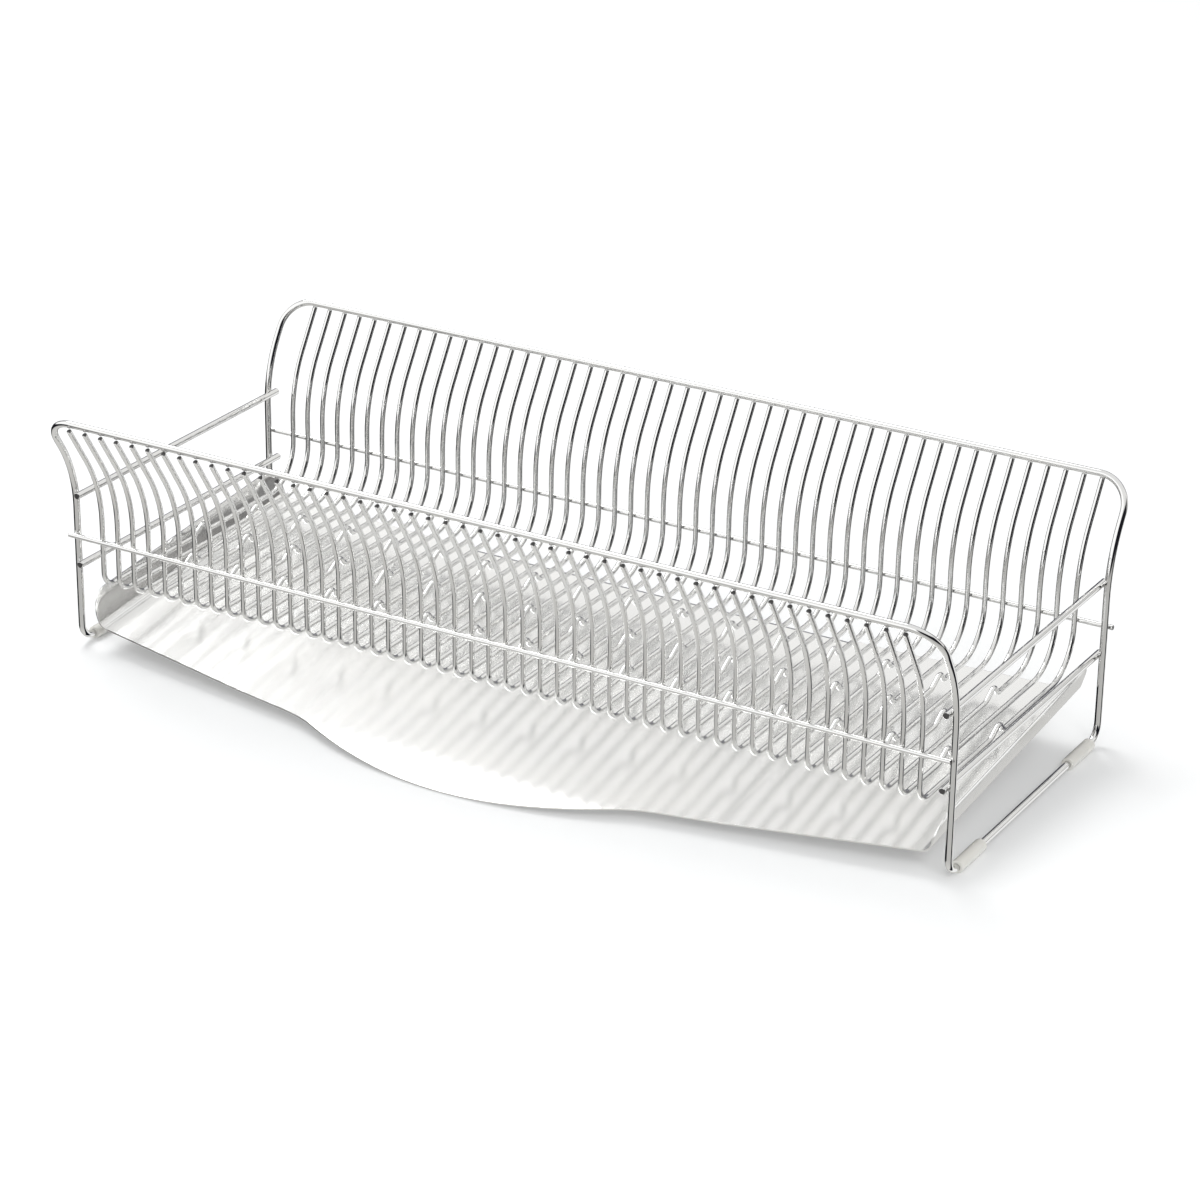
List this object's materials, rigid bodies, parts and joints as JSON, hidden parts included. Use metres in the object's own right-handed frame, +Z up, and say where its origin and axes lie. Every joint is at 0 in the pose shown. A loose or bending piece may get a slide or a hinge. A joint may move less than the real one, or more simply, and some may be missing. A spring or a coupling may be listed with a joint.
{
  "type": "dish drying rack",
  "caption": "Low welded wire dish basket on two end loops with clear foot sleeves, standing over a loose sloping steel drip tray with a curled pouring lip.",
  "frame": {"origin": "on the counter, midway between the front and back uprights and midway between the two ends", "axes": "+X along the length to the right as seen from the front, +Y to the back, +Z up; the tray's pouring lip is at -Y"},
  "size_m": [0.5724, 0.2758, 0.1535],
  "materials": {
    "polished_wire": "electropolished stainless steel wire, bright and smooth",
    "satin_sheet": "satin stainless steel sheet",
    "clear_sleeve": "clear soft vinyl tube, faintly yellow"
  },
  "bodies": {
    "rack": {"frame_wire": "polished_wire", "rib_01": "polished_wire", "rib_02": "polished_wire", "rib_03": "polished_wire", "rib_04": "polished_wire", "rib_05": "polished_wire", "rib_06": "polished_wire", "rib_07": "polished_wire", "rib_08": "polished_wire", "rib_09": "polished_wire", "rib_10": "polished_wire", "rib_11": "polished_wire", "rib_12": "polished_wire", "rib_13": "polished_wire", "rib_14": "polished_wire", "rib_15": "polished_wire", "rib_16": "polished_wire", "rib_17": "polished_wire", "rib_18": "polished_wire", "rib_19": "polished_wire", "rib_20": "polished_wire", "rib_21": "polished_wire", "rib_22": "polished_wire", "rib_23": "polished_wire", "rib_24": "polished_wire", "rib_25": "polished_wire", "rib_26": "polished_wire", "rib_27": "polished_wire", "rib_28": "polished_wire", "rib_29": "polished_wire", "rib_30": "polished_wire", "rib_31": "polished_wire", "rib_32": "polished_wire", "rib_33": "polished_wire", "rib_34": "polished_wire", "rib_35": "polished_wire", "rib_36": "polished_wire", "rib_37": "polished_wire", "rib_38": "polished_wire", "rib_39": "polished_wire", "rib_40": "polished_wire", "rib_41": "polished_wire", "rib_42": "polished_wire", "rib_43": "polished_wire", "rib_44": "polished_wire", "rib_45": "polished_wire", "rib_46": "polished_wire", "rib_47": "polished_wire", "rib_48": "polished_wire", "rib_49": "polished_wire", "upper_rail_left": "polished_wire", "upper_rail_right": "polished_wire", "lower_rail_left": "polished_wire", "lower_rail_right": "polished_wire", "front_brace_wire": "polished_wire", "back_brace_wire": "polished_wire", "front_foot_sleeves": "clear_sleeve", "back_foot_sleeves": "clear_sleeve"},
    "tray": {"drip_tray": "satin_sheet"}
  },
  "joints": [
    {"name": "tray_slide", "type": "slide", "parent": "rack", "child": "tray", "axis": [0, -1, 0], "range_m": [0, 0.2]}
  ]
}
